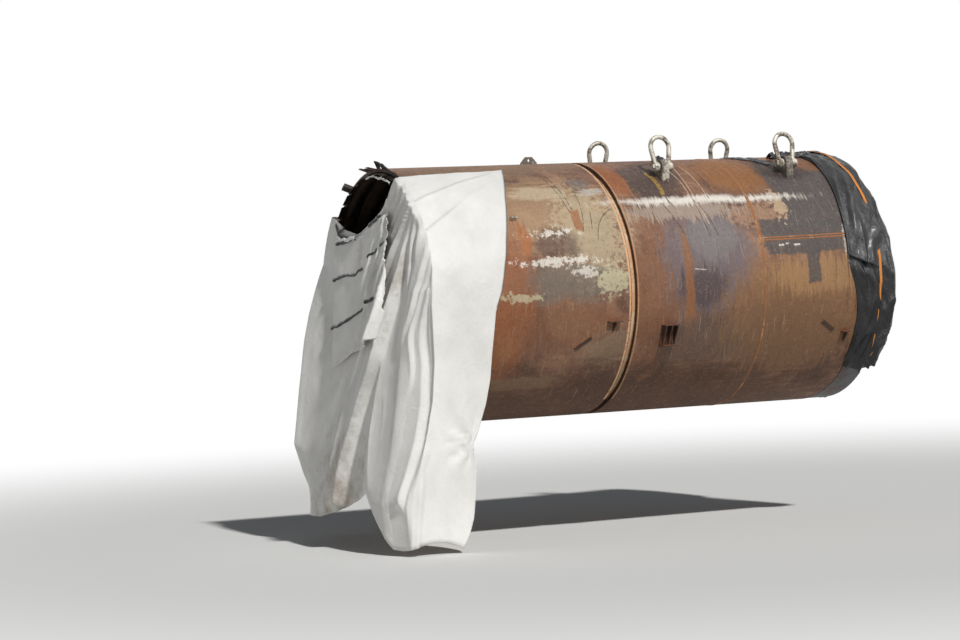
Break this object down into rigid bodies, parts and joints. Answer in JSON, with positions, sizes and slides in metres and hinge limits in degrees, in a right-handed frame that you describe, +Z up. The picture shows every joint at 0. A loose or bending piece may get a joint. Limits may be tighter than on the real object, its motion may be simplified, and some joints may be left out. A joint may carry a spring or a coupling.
{
  "type": "tunnel boring machine",
  "caption": "Shielded tunnel boring machine with cutterhead, articulated tail, thrust rams, segment erector, lifting shackles and travel covers.",
  "frame": {"origin": "on the crown of the shield, midway between the four lifting lugs", "axes": "+X along the machine's axis towards the cutterhead, +Z up, -Y the side that the picture shows"},
  "size_m": [9.3152, 4.316, 6.4738],
  "materials": {
    "rusted_plate": "rolled steel plate, brown rust",
    "tail_plate": "rolled steel plate, light rust",
    "inner_steel": "dark primer",
    "drive_steel": "machined and painted casting",
    "ram_red": "orange red enamel",
    "rod_chrome": "hard chrome, satin",
    "erector_paint": "yellow enamel",
    "head_paint": "worn yellow enamel",
    "tool_steel": "forged tool steel",
    "spring_steel": "wire brush and spring plate",
    "bracket_steel": "orange primer, rusted",
    "lug_steel": "rusted plate",
    "galvanised": "hot dip galvanised",
    "white_sheet": "white coated sheeting",
    "black_sheet": "black sheeting",
    "strap_orange": "woven strap"
  },
  "bodies": {
    "root": {"front_shield": "rusted_plate", "bulkhead": "inner_steel", "screw_port": "inner_steel", "main_drive": "drive_steel", "drive_motors": "drive_steel", "centre_shield": "rusted_plate", "ball_seat": "inner_steel", "jack_ring": "inner_steel", "thrust_ring": "inner_steel", "thrust_barrels": "ram_red", "erector_rollers": "drive_steel", "centre_brackets": "bracket_steel", "front_brackets": "bracket_steel", "lug_front_near": "lug_steel", "lug_front_far": "lug_steel", "lug_rear_near": "lug_steel", "lug_rear_far": "lug_steel", "front_cover": "black_sheet", "cover_strap": "strap_orange"},
    "cutterhead": {"cutterhead": "head_paint", "disc_cutters": "tool_steel", "gauge_cutters": "tool_steel", "scrapers": "tool_steel", "head_shaft": "drive_steel"},
    "hatch": {"hatch_door": "drive_steel"},
    "rams_top": {"rams_top": "rod_chrome"},
    "rams_near": {"rams_near": "rod_chrome"},
    "rams_bottom": {"rams_bottom": "rod_chrome"},
    "rams_far": {"rams_far": "rod_chrome"},
    "erector": {"erector_ring": "erector_paint"},
    "erector_reach": {"erector_head": "erector_paint"},
    "ball_sleeve": {"ball_sleeve": "drive_steel"},
    "tail": {"tail_shield": "tail_plate", "tail_seal_ring": "inner_steel", "tail_brushes": "spring_steel", "tail_end_plates": "spring_steel", "tail_padeyes": "lug_steel", "tail_brackets": "bracket_steel", "tail_cover_near": "white_sheet", "tail_cover_end": "white_sheet", "tail_cover_far": "white_sheet"},
    "shackle_front_near": {"shackle_front_near": "galvanised"},
    "shackle_front_far": {"shackle_front_far": "galvanised"},
    "shackle_rear_near": {"shackle_rear_near": "galvanised"},
    "shackle_rear_far": {"shackle_rear_far": "galvanised"}
  },
  "joints": [
    {"name": "cutterhead_spin", "type": "hinge", "parent": "root", "child": "cutterhead", "pos_m": [1.2, 0, -2.1], "axis": [1, 0, 0], "continuous": true},
    {"name": "hatch_hinge", "type": "hinge", "parent": "root", "child": "hatch", "pos_m": [0.734, 1.64, -1.48], "axis": [0, 0, -1], "range_deg": [0, 100]},
    {"name": "thrust_top", "type": "slide", "parent": "root", "child": "rams_top", "axis": [-1, 0, 0], "range_m": [0, 1.5]},
    {"name": "thrust_near", "type": "slide", "parent": "root", "child": "rams_near", "axis": [-1, 0, 0], "range_m": [0, 1.5]},
    {"name": "thrust_bottom", "type": "slide", "parent": "root", "child": "rams_bottom", "axis": [-1, 0, 0], "range_m": [0, 1.5]},
    {"name": "thrust_far", "type": "slide", "parent": "root", "child": "rams_far", "axis": [-1, 0, 0], "range_m": [0, 1.5]},
    {"name": "erector_turn", "type": "hinge", "parent": "root", "child": "erector", "pos_m": [-2.415, 0, -2.1], "axis": [1, 0, 0], "range_deg": [-200, 200]},
    {"name": "erector_extend", "type": "slide", "parent": "erector", "child": "erector_reach", "axis": [0, 0, -1], "range_m": [0, 0.45]},
    {"name": "articulation_yaw", "type": "hinge", "parent": "root", "child": "ball_sleeve", "pos_m": [-2.35, 0, -2.1], "axis": [0, 0, 1], "range_deg": [-1.5, 1.5]},
    {"name": "articulation_pitch", "type": "hinge", "parent": "ball_sleeve", "child": "tail", "pos_m": [-2.35, 0, -2.1], "axis": [0, 1, 0], "range_deg": [-1.5, 1.5]},
    {"name": "shackle_front_near_swing", "type": "hinge", "parent": "root", "child": "shackle_front_near", "pos_m": [1.2, -1.1325, -0.13845], "axis": [1, 0, 0], "range_deg": [-60, 140]},
    {"name": "shackle_front_far_swing", "type": "hinge", "parent": "root", "child": "shackle_front_far", "pos_m": [1.2, 1.1325, -0.13845], "axis": [1, 0, 0], "range_deg": [-140, 60]},
    {"name": "shackle_rear_near_swing", "type": "hinge", "parent": "root", "child": "shackle_rear_near", "pos_m": [-1.2, -1.1325, -0.13845], "axis": [1, 0, 0], "range_deg": [-60, 140]},
    {"name": "shackle_rear_far_swing", "type": "hinge", "parent": "root", "child": "shackle_rear_far", "pos_m": [-1.2, 1.1325, -0.13845], "axis": [1, 0, 0], "range_deg": [-140, 60]}
  ]
}
